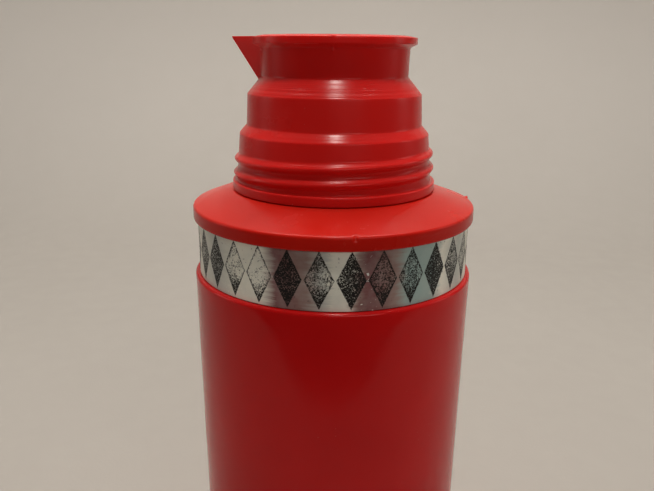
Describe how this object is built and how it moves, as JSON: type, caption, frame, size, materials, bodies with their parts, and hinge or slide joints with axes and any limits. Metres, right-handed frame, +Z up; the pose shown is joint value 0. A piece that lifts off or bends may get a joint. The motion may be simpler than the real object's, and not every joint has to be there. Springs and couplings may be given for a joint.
{
  "type": "vacuum flask",
  "caption": "Vacuum flask with a moulded case, a patterned metal band, a stepped screw-on pourer with a beaked rim, a glass bottle and a push-in stopper.",
  "frame": {"origin": "middle of the foot, on the surface the flask stands on", "axes": "+Z up the flask's axis to its mouth; the pouring beak points to -X"},
  "size_m": [0.115, 0.115, 0.2804],
  "materials": {
    "case_red": "gloss, slightly scuffed",
    "carrier_dark": "matt",
    "band_foil": "satin foil with dark rhombs",
    "gasket_rubber": "matt",
    "silvered_glass": "silvered glass",
    "mineral_pad": "pressed fibre",
    "corrugated_card": "corrugated",
    "stopper_plastic": "satin",
    "stopper_foam": "foam"
  },
  "bodies": {
    "case": {"body_shell": "case_red", "band_carrier": "carrier_dark", "decor_band": "band_foil", "shoulder_ring": "case_red", "shoulder_gasket": "gasket_rubber", "glass_inner": "silvered_glass", "glass_outer": "silvered_glass", "spacer_pads": "mineral_pad", "seal_off_tip": "silvered_glass", "card_sleeve": "corrugated_card"},
    "gasket": {"neck_gasket": "gasket_rubber"},
    "pourer": {"pourer": "case_red"},
    "stopper": {"stopper_body": "stopper_plastic", "stopper_cap": "stopper_plastic", "stopper_core": "stopper_foam", "stopper_rings": "gasket_rubber", "stopper_washer": "gasket_rubber"},
    "cushion": {"base_cushion": "gasket_rubber"},
    "base": {"base_cap": "case_red"}
  },
  "joints": [
    {"name": "pourer_rise", "type": "slide", "parent": "case", "child": "gasket", "axis": [0, 0, 1], "range_m": [0, 0.01]},
    {"name": "pourer_turn", "type": "hinge", "parent": "gasket", "child": "pourer", "pos_m": [0, 0, 0.2], "axis": [0, 0, 1], "range_deg": [0, 360]},
    {"name": "stopper_lift", "type": "slide", "parent": "pourer", "child": "stopper", "axis": [0, 0, 1], "range_m": [0, 0.07]},
    {"name": "base_drop", "type": "slide", "parent": "case", "child": "cushion", "axis": [0, 0, -1], "range_m": [0, 0.01]},
    {"name": "base_turn", "type": "hinge", "parent": "cushion", "child": "base", "pos_m": [0, 0, 0.01], "axis": [0, 0, -1], "range_deg": [0, 360]}
  ],
  "couplings": [
    {"joint": "pourer_rise", "follows": "pourer_turn", "m_per_rad": 0.0015915},
    {"joint": "base_drop", "follows": "base_turn", "m_per_rad": 0.0015915}
  ]
}
